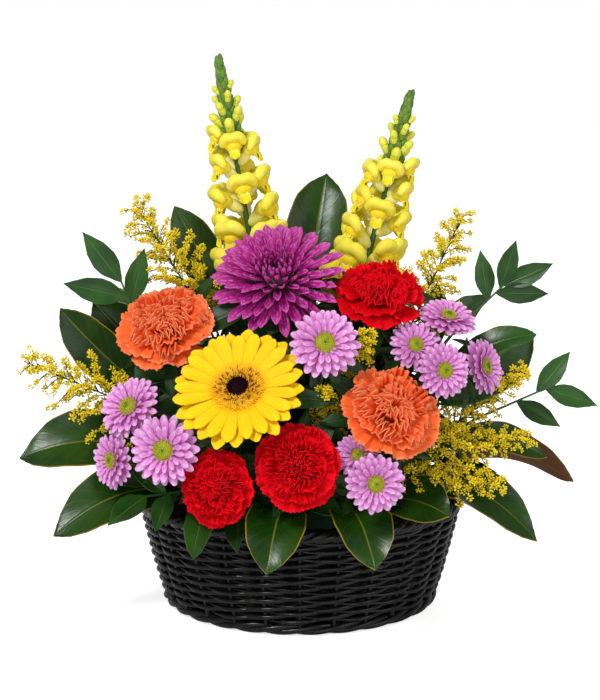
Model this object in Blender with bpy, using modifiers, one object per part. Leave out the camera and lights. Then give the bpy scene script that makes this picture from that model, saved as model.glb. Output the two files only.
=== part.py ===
"""A flower basket arrangement: a round wicker basket with a liner and a foam block, and cut flowers,
leaves and sprays whose stems are all pushed into the foam, pointing at one place inside it.

Metres, +Z up. The origin is the middle of the basket's underside, and -Y is the front."""

import math

import bmesh
import bpy
from mathutils import Matrix, Vector

# The basket
BASKET_HEIGHT = 0.090
BASE_RADIUS = 0.109
TOP_RADIUS = 0.131
WALL = 0.005
FOOT_HEIGHT = 0.009
RIM_HEIGHT = 0.010
RIM_WIDTH = 0.012
ROUND_STEPS = 32
FIT = 0.0004  # the gap that touching pieces keep

# The liner and the foam
LINER_TOP = 0.076
LINER_WALL = 0.0015
FLOOR = 0.007
FOAM_RADIUS = 0.088
FOAM_TOP = 0.120
FOAM_EDGE = 0.014

# Every stem runs in a straight line towards this place until it ends, and leaves the foam straight
FOCUS = Vector((0, 0, 0.062))
STEM_START = 0.040
STRAIGHT = 0.104
HOLE_SLACK = 0.0005

# Each kind of flower: its stem's radius, and its head's outline as shares of the head's radius,
# each pair (distance along the axis from the neck, radius)
HEADS = {
    "carnation": (0.0022, ((0.0, 0.07), (0.1, 0.2), (0.55, 0.24), (0.85, 0.85), (1.1, 1.0), (1.4, 0.8),
                           (1.55, 0.42))),
    "gerbera": (0.0026, ((0.0, 0.06), (0.14, 0.25), (0.3, 0.4), (0.42, 1.0), (0.5, 1.0), (0.56, 0.42))),
    "chrysanthemum": (0.0026, ((0.0, 0.06), (0.1, 0.25), (0.26, 0.75), (0.42, 1.0), (0.66, 0.85), (0.84, 0.5))),
    "daisy": (0.0016, ((0.0, 0.08), (0.22, 0.28), (0.42, 1.0), (0.54, 1.0), (0.66, 0.48))),
}

# name: kind, the head's radius, its middle (x, y, z), and where it faces: turn from the front towards +X
# and rise above the horizon, in degrees
FLOWERS = {
    "purple_chrysanthemum": ("chrysanthemum", 0.052, (-0.019, -0.062, 0.268), (-10, 46)),
    "yellow_gerbera": ("gerbera", 0.050, (-0.046, -0.126, 0.199), (-12, 33)),
    "red_carnation_centre": ("carnation", 0.035, (-0.002, -0.151, 0.144), (-2, 20)),
    "red_carnation_left": ("carnation", 0.030, (-0.064, -0.142, 0.124), (-26, 12)),
    "red_carnation_top": ("carnation", 0.035, (0.062, -0.062, 0.262), (12, 52)),
    "orange_carnation_left": ("carnation", 0.038, (-0.105, -0.066, 0.236), (-38, 38)),
    "orange_carnation_right": ("carnation", 0.037, (0.071, -0.124, 0.181), (26, 28)),
    "lilac_daisy_left_top": ("daisy", 0.0235, (-0.130, -0.095, 0.178), (-36, 36)),
    "lilac_daisy_left_outer": ("daisy", 0.0205, (-0.141, -0.100, 0.138), (-50, 8)),
    "lilac_daisy_left_inner": ("daisy", 0.025, (-0.101, -0.132, 0.154), (-16, 12)),
    "lilac_daisy_centre": ("daisy", 0.025, (0.018, -0.112, 0.231), (8, 26)),
    "lilac_daisy_right_inner": ("daisy", 0.019, (0.088, -0.078, 0.222), (14, 34)),
    "lilac_daisy_right_front": ("daisy", 0.020, (0.108, -0.104, 0.209), (22, 14)),
    "lilac_daisy_right_outer": ("daisy", 0.0205, (0.139, -0.078, 0.206), (56, 16)),
    "lilac_daisy_right_top": ("daisy", 0.021, (0.114, -0.060, 0.239), (28, 64)),
    "lilac_daisy_low_back": ("daisy", 0.0165, (0.043, -0.134, 0.150), (10, 30)),
    "lilac_daisy_low_front": ("daisy", 0.021, (0.056, -0.158, 0.135), (12, 6)),
}

# Snapdragon spikes: the tip, and the radius of the lowest whorl of florets
SNAPDRAGONS = {
    "snapdragon_left": ((-0.065, 0.030, 0.434), 0.027),
    "snapdragon_right": ((0.088, 0.030, 0.406), 0.027),
}
SPIKE_STEM = 0.003
# Shares of the way from the focus to the tip, and of the lowest whorl's radius
SPIKE_OUTLINE = ((0.50, 0.12), (0.54, 0.85), (0.62, 1.0), (0.74, 0.72), (0.84, 0.36), (0.93, 0.24), (1.0, 0.08))

# Leaves: the blade's base, its tip, its width, and which way its upper side looks
LEAVES = {
    "magnolia_leaf_front": ((-0.013, -0.106, 0.099), (-0.025, -0.166, 0.067), 0.046, (0, -0.8, 0.6)),
    "magnolia_leaf_front_right": ((0.034, -0.100, 0.099), (0.056, -0.162, 0.069), 0.046, (0.2, -0.8, 0.6)),
    "magnolia_leaf_right_rim": ((0.066, -0.070, 0.097), (0.114, -0.118, 0.098), 0.042, (0.1, -0.8, 0.6)),
    "magnolia_leaf_right_long": ((0.094, -0.032, 0.098), (0.186, -0.066, 0.063), 0.038, (0.1, -0.7, 0.7)),
    "magnolia_leaf_right_brown": ((0.122, 0.004, 0.112), (0.221, 0.000, 0.094), 0.040, (0.0, 0.75, 0.65)),
    "magnolia_leaf_right_small": ((0.118, -0.030, 0.132), (0.196, -0.030, 0.122), 0.026, (0.0, -0.8, 0.6)),
    "magnolia_leaf_right_high": ((0.112, 0.008, 0.160), (0.187, 0.010, 0.216), 0.052, (0.35, -0.9, 0.2)),
    "magnolia_leaf_top": ((0.008, 0.044, 0.232), (0.022, 0.080, 0.334), 0.050, (0.0, -0.9, 0.3)),
    "magnolia_leaf_top_left": ((-0.060, 0.026, 0.226), (-0.101, 0.034, 0.314), 0.036, (0.1, -0.95, 0.2)),
    "magnolia_leaf_left_high": ((-0.118, -0.014, 0.168), (-0.189, -0.022, 0.241), 0.040, (-0.3, -0.9, 0.2)),
    "magnolia_leaf_left_back": ((-0.104, 0.010, 0.172), (-0.166, 0.014, 0.240), 0.044, (0.1, -0.95, 0.2)),
    "magnolia_leaf_left_wide": ((-0.118, -0.034, 0.126), (-0.220, -0.052, 0.127), 0.050, (0.0, -0.75, 0.65)),
    "magnolia_leaf_left_low": ((-0.094, -0.046, 0.098), (-0.191, -0.088, 0.074), 0.046, (0.0, -0.75, 0.65)),
    "salal_leaf_left_rim": ((-0.058, -0.084, 0.096), (-0.080, -0.148, 0.074), 0.026, (-0.2, -0.8, 0.6)),
    "salal_leaf_behind_gerbera": ((-0.072, -0.050, 0.146), (-0.127, -0.072, 0.206), 0.030, (-0.2, -0.9, 0.4)),
    "salal_leaf_right_high": ((0.120, -0.026, 0.190), (0.186, -0.030, 0.222), 0.026, (0.0, -0.6, 0.8)),
    "magnolia_leaf_back": ((0.000, 0.090, 0.096), (0.004, 0.168, 0.086), 0.050, (0.0, 0.6, 0.8)),
    "magnolia_leaf_back_left": ((-0.060, 0.070, 0.100), (-0.130, 0.136, 0.092), 0.048, (-0.4, 0.5, 0.8)),
    "magnolia_leaf_back_right": ((0.060, 0.070, 0.100), (0.130, 0.136, 0.092), 0.048, (0.4, 0.5, 0.8)),
}
GREENS = {
    "magnolia": (0.025, 0.085, 0.015),
    "salal": (0.035, 0.11, 0.02),
    "ruscus": (0.05, 0.16, 0.03),
}
LEAF_STEM = 0.0016
LEAF_THICK = 0.0007
LEAF_FOLD = 0.16  # how far an edge stands above the midrib, as a share of the half width
# Shares of the blade's length and of its half width
LEAF_OUTLINE = ((0.0, 0.07), (0.1, 0.42), (0.28, 0.84), (0.48, 1.0), (0.68, 0.86), (0.85, 0.5), (0.95, 0.2), (1.0, 0.02))

# Leafy branches: the first leaflet's place, the branch's end, which way it looks,
# and its leaflets as (share of the way, degrees from the branch, length)
BRANCHES = {
    "ruscus_left_high": ((-0.123, -0.014, 0.216), (-0.141, -0.014, 0.261), (0, -1, 0.2),
                         ((0.60, -36, 0.046), (0.72, 55, 0.052), (1.0, 15, 0.050))),
    "ruscus_right_high": ((0.121, -0.010, 0.218), (0.161, -0.008, 0.257), (0, -1, 0.2),
                          ((0.70, 55, 0.040), (0.85, -45, 0.042), (0.94, 28, 0.040), (1.0, -20, 0.043))),
    "ruscus_right": ((0.141, -0.018, 0.151), (0.195, -0.020, 0.176), (0, -1, 0.3),
                     ((0.58, -54, 0.040), (0.87, 27, 0.042), (1.0, -42, 0.043))),
    "ruscus_left_low": ((-0.088, -0.080, 0.108), (-0.118, -0.106, 0.111), (0, -0.8, 0.6),
                        ((0.45, 48, 0.042), (0.5, -50, 0.036), (1.0, 24, 0.050))),
    "salal_branch_back": ((0.000, 0.058, 0.150), (0.002, 0.112, 0.240), (0, 0.9, 0.4),
                          ((0.0, 58, 0.062), (0.2, -58, 0.064), (0.5, 52, 0.060), (0.75, -48, 0.058), (1.0, 6, 0.058))),
    "salal_branch_back_left": ((-0.052, 0.050, 0.138), (-0.120, 0.096, 0.196), (-0.4, 0.8, 0.5),
                               ((0.0, 56, 0.058), (0.25, -56, 0.060), (0.6, 50, 0.056), (0.85, -46, 0.054), (1.0, 4, 0.056))),
    "salal_branch_back_right": ((0.052, 0.050, 0.138), (0.120, 0.096, 0.196), (0.4, 0.8, 0.5),
                                ((0.0, 56, 0.058), (0.25, -56, 0.060), (0.6, 50, 0.056), (0.85, -46, 0.054), (1.0, 4, 0.056))),
}
BRANCH = 0.0012
LEAFLET_WIDTH = {"ruscus": 0.40, "salal": 0.50}  # as a share of its length

# Goldenrod sprays: the lowest side branch's place, the tip, and the longest side branch
GOLDENROD = {
    "goldenrod_left_high": ((-0.080, -0.010, 0.240), (-0.135, 0.000, 0.324), 0.040),
    "goldenrod_left": ((-0.126, -0.046, 0.166), (-0.223, -0.052, 0.210), 0.036),
    "goldenrod_right_high": ((0.090, 0.000, 0.226), (0.136, 0.010, 0.314), 0.036),
    "goldenrod_right_mid": ((0.118, -0.044, 0.150), (0.178, -0.046, 0.196), 0.024),
    "goldenrod_right": ((0.104, -0.074, 0.140), (0.180, -0.066, 0.146), 0.028),
    "goldenrod_right_low": ((0.088, -0.070, 0.118), (0.158, -0.098, 0.116), 0.026),
    "goldenrod_centre": ((0.038, -0.070, 0.180), (0.052, -0.094, 0.238), 0.018),
    "goldenrod_centre_low": ((0.024, -0.084, 0.160), (0.018, -0.114, 0.198), 0.016),
    "goldenrod_back": ((0.030, 0.070, 0.200), (0.046, 0.104, 0.286), 0.034),
}
SPRAY_STEM = 0.0016
SIDE_BRANCHES = 6
GOLDEN_TURN = math.radians(137.5)
SIDE_LEAN = math.radians(48)


def clear_scene():
    for obj in list(bpy.data.objects):
        bpy.data.objects.remove(obj, do_unlink=True)


def collection(name):
    made = bpy.data.collections.new(name)
    bpy.context.scene.collection.children.link(made)
    return made


def material(name, colour, roughness, metallic=0.0):
    made = bpy.data.materials.get(name)
    if made is None:
        made = bpy.data.materials.new(name)
        made.use_nodes = True
        shader = made.node_tree.nodes["Principled BSDF"]
        shader.inputs["Base Color"].default_value = (*colour, 1.0)
        shader.inputs["Roughness"].default_value = roughness
        shader.inputs["Metallic"].default_value = metallic
    return made


def add(name, data, finish, group):
    data.materials.clear()
    data.materials.append(finish)
    obj = bpy.data.objects.new(name, data)
    group.objects.link(obj)
    return obj


def direction(turn, rise):
    """The way something looks that is turned from the front towards +X and raised, in degrees."""
    t, r = math.radians(turn), math.radians(rise)
    return Vector((math.sin(t) * math.cos(r), -math.cos(t) * math.cos(r), math.sin(r)))


# Tubes with a changing radius, and joined solids


def tube(name, route, radii, finish, group, sides=2):
    """A closed tube along the route, with its own radius at each point. sides is the bevel's resolution."""
    data = bpy.data.curves.new(name, "CURVE")
    data.dimensions = "3D"
    data.bevel_depth = 1.0
    data.bevel_resolution = sides
    data.use_fill_caps = True
    spline = data.splines.new("POLY")
    spline.points.add(len(route) - 1)
    for point, place, radius in zip(spline.points, route, radii):
        point.co = (*place, 1.0)
        point.radius = radius
    return add(name, data, finish, group)


def as_mesh(obj):
    """The curve object made a mesh object of the same name, with its caps welded on."""
    graph = bpy.context.evaluated_depsgraph_get()
    data = bpy.data.meshes.new_from_object(obj.evaluated_get(graph))
    bm = bmesh.new()
    bm.from_mesh(data)
    bmesh.ops.remove_doubles(bm, verts=bm.verts, dist=1e-6)
    bmesh.ops.recalc_face_normals(bm, faces=bm.faces)
    bm.to_mesh(data)
    bm.free()
    name, group, matrix = obj.name, obj.users_collection[0], obj.matrix_world.copy()
    bpy.data.objects.remove(obj, do_unlink=True)
    made = bpy.data.objects.new(name, data)
    made.matrix_world = matrix
    group.objects.link(made)
    return made


def join(obj, others):
    """The solids of the others joined to obj by a Boolean union, and the others kept as hidden helpers."""
    for other in others:
        other.hide_render = True
        other.display_type = "WIRE"
        union = obj.modifiers.new("join " + other.name, "BOOLEAN")
        union.operation = "UNION"
        union.object = other
    return obj


def turned(name, outline, finish, group):
    """A ring or disc turned about Z from a closed outline of (radius, height) points, run clockwise from the top."""
    data = bpy.data.meshes.new(name)
    points = [(radius, 0, height) for radius, height in outline]
    last = len(points)
    closed = min(radius for radius, _ in outline) > 0
    edges = [(i, (i + 1) % last) for i in range(last if closed else last - 1)]
    data.from_pydata(points, edges, [])
    obj = add(name, data, finish, group)
    screw = obj.modifiers.new("turn", "SCREW")
    screw.steps = screw.render_steps = ROUND_STEPS
    screw.use_merge_vertices = True
    screw.merge_threshold = 0.00005
    return obj


# The basket, its liner and its foam


def wall_radius(height):
    """The wicker wall's outer radius: a straight flare that rounds in towards the foot."""
    share = height / BASKET_HEIGHT
    return BASE_RADIUS + (TOP_RADIUS - BASE_RADIUS) * share ** 0.85


def basket(group):
    wicker = material("black_wicker", (0.012, 0.012, 0.013), 0.32)
    foot_in = BASE_RADIUS - 0.006
    turned("basket_foot_border", [(BASE_RADIUS - 0.002, FOOT_HEIGHT), (BASE_RADIUS + 0.001, FOOT_HEIGHT * 0.6),
           (BASE_RADIUS - 0.001, 0), (foot_in, 0), (foot_in, FOOT_HEIGHT)], wicker, group)
    turned("basket_base", [(0, FLOOR), (foot_in - FIT, FLOOR), (foot_in - FIT, 0), (0, 0)], wicker, group)
    low, high = FOOT_HEIGHT + FIT, BASKET_HEIGHT - RIM_HEIGHT - FIT
    heights = [high - (high - low) * i / 4 for i in range(5)]
    outer = [(wall_radius(z), z) for z in heights]
    inner = [(radius - WALL, z) for radius, z in reversed(outer)]
    turned("basket_wall", outer + inner, wicker, group)
    middle = wall_radius(BASKET_HEIGHT - RIM_HEIGHT / 2) - WALL / 2
    rim_middle = BASKET_HEIGHT - RIM_HEIGHT / 2
    rim = [(middle + RIM_WIDTH / 2 * math.cos(a), rim_middle + RIM_HEIGHT / 2 * math.sin(a))
           for a in (math.radians(90 - 45 * i) for i in range(8))]
    turned("basket_rim_border", rim, wicker, group)


def liner(group):
    """A thin plastic pot, open at the top, that stands on the basket's base."""
    plastic = material("black_liner", (0.02, 0.02, 0.02), 0.4)
    data = bpy.data.meshes.new("liner")
    gap = WALL + 3 * FIT + LINER_WALL
    floor = FLOOR + FIT
    low, high = wall_radius(FOOT_HEIGHT) - gap - 0.002, wall_radius(LINER_TOP) - gap
    outline = [(high, 0, LINER_TOP), (low, 0, FOOT_HEIGHT + 0.004), (low - 0.008, 0, floor), (0, 0, floor)]
    data.from_pydata(outline, [(0, 1), (1, 2), (2, 3)], [])
    obj = add("plastic_liner", data, plastic, group)
    screw = obj.modifiers.new("turn", "SCREW")
    screw.steps = screw.render_steps = ROUND_STEPS
    screw.use_merge_vertices = True
    screw.merge_threshold = 0.00005
    wall = obj.modifiers.new("wall", "SOLIDIFY")
    wall.thickness = LINER_WALL
    wall.offset = -1


def foam(group, cutters):
    """A round block of wet foam in the liner, with a blind hole for each stem."""
    green = material("floral_foam", (0.09, 0.2, 0.07), 0.95)
    bottom = FLOOR + FIT + LINER_WALL + FIT
    bpy.ops.mesh.primitive_cylinder_add(vertices=ROUND_STEPS, radius=FOAM_RADIUS, depth=FOAM_TOP - bottom,
                                        location=(0, 0, (FOAM_TOP + bottom) / 2))
    obj = bpy.context.object
    obj.name = "floral_foam"
    for used in obj.users_collection:
        used.objects.unlink(obj)
    group.objects.link(obj)
    obj.data.materials.append(green)
    bm = bmesh.new()
    bm.from_mesh(obj.data)
    rim = [e for e in bm.edges if all(v.co.z > 0 for v in e.verts)]
    bmesh.ops.bevel(bm, geom=rim, offset=FOAM_EDGE, segments=1, affect="EDGES")
    bm.to_mesh(obj.data)
    bm.free()
    holes = obj.modifiers.new("stem holes", "BOOLEAN")
    holes.operation = "DIFFERENCE"
    holes.operand_type = "COLLECTION"
    holes.collection = cutters


def hole(place, radius, cutters, start=STEM_START):
    """The cutter for the hole of a stem that starts near the focus and leaves the foam towards a place."""
    way = (Vector(place) - FOCUS).normalized()
    route = [FOCUS + way * (start - 0.0006), FOCUS + way * STRAIGHT]
    cutter = as_mesh(tube("hole", route, [radius + HOLE_SLACK] * 2, material("cutter", (1, 0, 0), 1), cutters, 1))
    cutter.hide_render = True
    cutter.display_type = "WIRE"


# Flowers


def bent_route(neck, facing):
    """From inside the foam straight out towards the neck, then bending to reach it along the way the head faces."""
    way = (neck - FOCUS).normalized()
    far = (neck - FOCUS).length
    leave = FOCUS + way * max(0.55 * far, min(STRAIGHT, far - 0.012))
    reach = (neck - leave).length * 0.4
    a, b = leave + way * reach, neck - facing * reach
    route = [FOCUS + way * STEM_START]
    for i in range(4):
        t = i / 4
        route.append(leave * (1 - t) ** 3 + a * 3 * t * (1 - t) ** 2 + b * 3 * t * t * (1 - t) + neck * t ** 3)
    return route


def flower(name, group, cutters):
    kind, radius, place, (turn, rise) = FLOWERS[name]
    stem, outline = HEADS[kind]
    facing = direction(turn, rise)
    widest = max(outline, key=lambda pair: pair[1])[0]
    neck = Vector(place) - facing * radius * widest
    route = bent_route(neck, facing)
    radii = [stem] * len(route)
    for along, share in outline:
        route.append(neck + facing * radius * along)
        radii.append(radius * share)
    finish = material(name.split("_")[0] + "_petals", COLOURS[name.split("_")[0]], 0.6)
    tube(name, route, radii, finish, group, sides=2 if kind == "daisy" else 3)
    hole(neck, stem, cutters)


COLOURS = {
    "purple": (0.32, 0.02, 0.24),
    "yellow": (0.95, 0.75, 0.01),
    "red": (0.62, 0.005, 0.015),
    "orange": (0.90, 0.16, 0.04),
    "lilac": (0.56, 0.28, 0.66),
}


def snapdragon(name, group, cutters):
    tip, widest = SNAPDRAGONS[name]
    tip = Vector(tip)
    far = tip - FOCUS
    route = [FOCUS + far.normalized() * STEM_START]
    radii = [SPIKE_STEM]
    for share, wide in SPIKE_OUTLINE:
        route.append(FOCUS + far * share)
        radii.append(widest * wide)
    tube(name, route, radii, material("snapdragon_yellow", (0.90, 0.78, 0.05), 0.6), group, sides=3)
    hole(tip, SPIKE_STEM, cutters)


# Leaves


def loft(name, rings, finish, group):
    """A closed solid through rings of four points: left edge, upper middle, right edge, lower middle."""
    bm = bmesh.new()
    made = [[bm.verts.new(point) for point in ring] for ring in rings]
    for low, high in zip(made, made[1:]):
        for i in range(4):
            j = (i + 1) % 4
            bm.faces.new((low[i], low[j], high[j], high[i]))
    bm.faces.new(reversed(made[0]))
    bm.faces.new(made[-1])
    bmesh.ops.recalc_face_normals(bm, faces=bm.faces)
    data = bpy.data.meshes.new(name)
    bm.to_mesh(data)
    bm.free()
    return add(name, data, finish, group)


def ring(middle, along, face, half_width, half_thick, fold):
    side = along.cross(face).normalized()
    up = side.cross(along).normalized()
    raised = up * half_width * fold
    return [middle - side * half_width + raised, middle + up * half_thick,
            middle + side * half_width + raised, middle - up * half_thick]


def blade(base, way, tip, width, face):
    """The rings of a leaf's blade, which leaves its stem along way and bends over to its tip."""
    control = base + way * (tip - base).length * 0.5
    rings = []
    for t, share in LEAF_OUTLINE:
        middle = base * (1 - t) ** 2 + control * 2 * t * (1 - t) + tip * t * t
        along = ((control - base) * (1 - t) + (tip - control) * t).normalized()
        half = max(width / 2 * share, 0.0004)
        thick = LEAF_THICK if t < 1 else 0.0003
        rings.append(ring(middle, along, face, half, thick, LEAF_FOLD))
    return rings


def leaf(name, group, cutters):
    base, tip, width, face = LEAVES[name]
    base, tip, face = Vector(base), Vector(tip), Vector(face)
    way = (base - FOCUS).normalized()
    start = FOCUS + way * STEM_START
    near = base - way * 0.004
    stem = [ring(middle, way, face, LEAF_STEM, LEAF_STEM, 0) for middle in (start, near)]
    kind = name.split("_")[0]
    finish = material(kind + "_leaf", GREENS[kind], 0.25)
    loft(name, stem + blade(base, way, tip, width, face), finish, group)
    hole(base, LEAF_STEM, cutters)


def leafy_branch(name, group, cutters):
    """A branch with pointed leaflets to either side, joined into one solid."""
    first, end, face, leaflets = BRANCHES[name]
    first, end, face = Vector(first), Vector(end), Vector(face)
    way = (first - FOCUS).normalized()
    kind = name.split("_")[0]
    green = material(kind + "_leaf", GREENS[kind], 0.3)
    route = [FOCUS + way * STEM_START, first, end]
    stem = as_mesh(tube(name, route, [BRANCH] * 3, green, group, 1))
    along = (end - first).normalized()
    across = along.cross(face).normalized()
    parts = []
    for number, (share, degrees, length) in enumerate(leaflets):
        base = first.lerp(end, share)
        turn = math.radians(degrees)
        out = (along * math.cos(turn) - across * math.sin(turn)).normalized()
        rings = blade(base - out * 0.001, out, base + out * length, length * LEAFLET_WIDTH[kind], face)
        parts.append(loft(f"{name}_leaflet_{number}", rings, green, group))
    join(stem, parts)
    hole(first, BRANCH, cutters)


def goldenrod(name, group, cutters):
    """A plume: a stem with side branches round it that get shorter towards the tip, joined into one solid."""
    low, tip, longest = GOLDENROD[name]
    low, tip = Vector(low), Vector(tip)
    way = (low - FOCUS).normalized()
    gold = material("goldenrod_yellow", (0.75, 0.50, 0.02), 0.8)
    route = [FOCUS + way * STEM_START, low, low.lerp(tip, 0.55), tip]
    stem = as_mesh(tube(name, route, [SPRAY_STEM, SPRAY_STEM, 0.0034, 0.0012], gold, group, 1))
    along = (tip - low).normalized()
    out = along.cross(Vector((0, 1, 0))).normalized()
    parts = []
    for i in range(SIDE_BRANCHES):
        share = i / SIDE_BRANCHES
        round_stem = Matrix.Rotation(GOLDEN_TURN * i, 3, along)
        lean = (along * math.cos(SIDE_LEAN) + round_stem @ out * math.sin(SIDE_LEAN)).normalized()
        base = low.lerp(tip, share * 0.85)
        length = longest * (1 - 0.75 * share)
        side = tube(f"{name}_side_{i}", [base, base + lean * length * 0.6, base + lean * length],
                    [0.0014, 0.0034, 0.0012], gold, group, 1)
        parts.append(as_mesh(side))
    join(stem, parts)
    hole(low, SPRAY_STEM, cutters)


def main():
    clear_scene()
    group = collection("flower_basket_arrangement")
    cutters = collection("stem_hole_cutters")
    basket(group)
    liner(group)
    for name in FLOWERS:
        flower(name, group, cutters)
    for name in SNAPDRAGONS:
        snapdragon(name, group, cutters)
    for name in LEAVES:
        leaf(name, group, cutters)
    for name in BRANCHES:
        leafy_branch(name, group, cutters)
    for name in GOLDENROD:
        goldenrod(name, group, cutters)
    foam(group, cutters)


main()
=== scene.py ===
import math
import random

import bmesh
import bpy
from mathutils import Matrix, Vector


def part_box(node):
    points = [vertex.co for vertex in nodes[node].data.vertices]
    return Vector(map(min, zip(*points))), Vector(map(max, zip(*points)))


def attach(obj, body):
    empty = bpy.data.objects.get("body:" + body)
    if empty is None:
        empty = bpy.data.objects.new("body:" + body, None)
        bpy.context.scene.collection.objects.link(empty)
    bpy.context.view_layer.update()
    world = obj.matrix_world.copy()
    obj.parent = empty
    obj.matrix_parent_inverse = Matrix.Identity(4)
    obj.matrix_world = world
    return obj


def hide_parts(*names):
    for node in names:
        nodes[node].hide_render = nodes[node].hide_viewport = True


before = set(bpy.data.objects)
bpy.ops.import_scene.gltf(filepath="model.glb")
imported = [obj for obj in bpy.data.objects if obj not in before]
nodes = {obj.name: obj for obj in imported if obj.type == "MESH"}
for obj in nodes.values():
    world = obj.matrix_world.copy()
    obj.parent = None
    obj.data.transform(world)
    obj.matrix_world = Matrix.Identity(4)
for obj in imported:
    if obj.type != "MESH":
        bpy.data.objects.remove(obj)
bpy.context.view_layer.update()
focus = Vector((0, 0, 0.062))  # the place inside the foam that every stem points at
goldenTurn = math.radians(137.5)


# Picking, copying and joining

def deselect():
    bpy.ops.object.select_all(action="DESELECT")


def activate(piece):
    deselect()
    piece.select_set(True)
    bpy.context.view_layer.objects.active = piece


def edit(piece):
    activate(piece)
    bpy.ops.object.mode_set(mode="EDIT")
    bpy.ops.mesh.select_mode(type="VERT")


def objectMode():
    bpy.ops.object.mode_set(mode="OBJECT")


def pick(piece, test):  # selects the vertices of the piece in edit mode that pass the test
    bm = bmesh.from_edit_mesh(piece.data)
    bpy.ops.mesh.select_all(action="DESELECT")
    for vertex in bm.verts:
        vertex.select = test(vertex)
    bm.select_flush_mode()
    bmesh.update_edit_mesh(piece.data)


def finishedWith(piece, kind, **settings):  # adds a modifier and applies it
    activate(piece)
    modifier = piece.modifiers.new(kind.title(), kind)
    for name, value in settings.items():
        setattr(modifier, name, value)
    bpy.ops.object.modifier_apply(modifier=modifier.name)
    return piece


def tidyMesh(piece, distance=0.00001):
    edit(piece)
    bpy.ops.mesh.select_all(action="SELECT")
    bpy.ops.mesh.remove_doubles(threshold=distance)
    bpy.ops.mesh.normals_make_consistent(inside=False)
    objectMode()
    return piece


def smooth(piece, degrees=50):
    activate(piece)
    bpy.ops.object.shade_smooth_by_angle(angle=math.radians(degrees))
    return piece


def copyOf(source, matrix, tone=0.5):  # a copy with its own mesh, put in place, with its own shade of colour
    copy = bpy.data.objects.new(source.name, source.data.copy())
    copy.data.transform(matrix)
    if matrix.determinant() < 0:
        copy.data.flip_normals()
    shade = copy.data.attributes.get("tone") or copy.data.attributes.new("tone", "FLOAT", "FACE")
    shade.data.foreach_set("value", [tone] * len(copy.data.polygons))
    bpy.context.scene.collection.objects.link(copy)
    return copy


def joined(name, parts):
    deselect()
    for part in parts:
        part.select_set(True)
    bpy.context.view_layer.objects.active = parts[0]
    if len(parts) > 1:
        bpy.ops.object.join()
    parts[0].name = parts[0].data.name = name
    return parts[0]


def discard(*pieces):
    for piece in pieces:
        bpy.data.objects.remove(piece, do_unlink=True)


def tilt(degrees, axis="X"):
    return Matrix.Rotation(math.radians(degrees), 4, axis)


def spin(turn):
    return Matrix.Rotation(turn, 4, "Z")


def shift(x, y, z):
    return Matrix.Translation((x, y, z))


def sized(size):
    return Matrix.Scale(size, 4)


def declared(piece, slot, finish, *replaced):
    piece.data.materials.clear()
    piece.data.materials.append(finish)
    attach(piece, "root")
    if replaced:
        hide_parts(*replaced)
    return piece


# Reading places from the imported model

def ringsOf(node):  # the rings of a stem, flower or leaf, from its cut end in the foam to its far end
    bm = bmesh.new()
    bm.from_mesh(nodes[node].data)
    bmesh.ops.remove_doubles(bm, verts=bm.verts, dist=0.000002)
    near = min((vertex.co - focus).length for vertex in bm.verts)
    ring = [vertex for vertex in bm.verts if (vertex.co - focus).length < near + 0.0004]
    seen, rings = set(ring), []
    while ring:
        rings.append([vertex.co.copy() for vertex in ring])
        ring = list({edge.other_vert(vertex) for vertex in ring for edge in vertex.link_edges} - seen)
        seen.update(ring)
    bm.free()
    return rings


def middle(points):
    return sum(points, Vector()) / len(points)


def ringRadius(points):
    centre = middle(points)
    return sum((point - centre).length for point in points) / len(points)


def frameAt(place, facing):  # a matrix that turns +Z to the facing and keeps +Y as near to upright as it can
    side = Vector((0, 0, 1)).cross(facing)
    side = (side if side.length > 0.01 else Vector((1, 0, 0))).normalized()
    up = facing.cross(side)
    turn = Matrix((side, up, facing)).transposed().to_4x4()
    return Matrix.Translation(place) @ turn


def headOf(node):  # a matrix on a flower's widest ring, turned the way it faces, and that ring's radius
    rings = ringsOf(node)
    centres = [middle(ring) for ring in rings]
    radii = [ringRadius(ring) for ring in rings]
    widest = radii.index(max(radii))
    facing = (centres[-1] - centres[-2]).normalized()
    return frameAt(centres[widest], facing), radii[widest]


# Shapes that many pieces share

def between(stops, at):  # smooth interpolation between (place, value) stops
    for (low, first), (high, second) in zip(stops, stops[1:]):
        if at <= high:
            share = (at - low) / (high - low)
            return first + (second - first) * (0.6 * share + 0.4 * share * share * (3 - 2 * share))
    return stops[-1][1]


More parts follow.
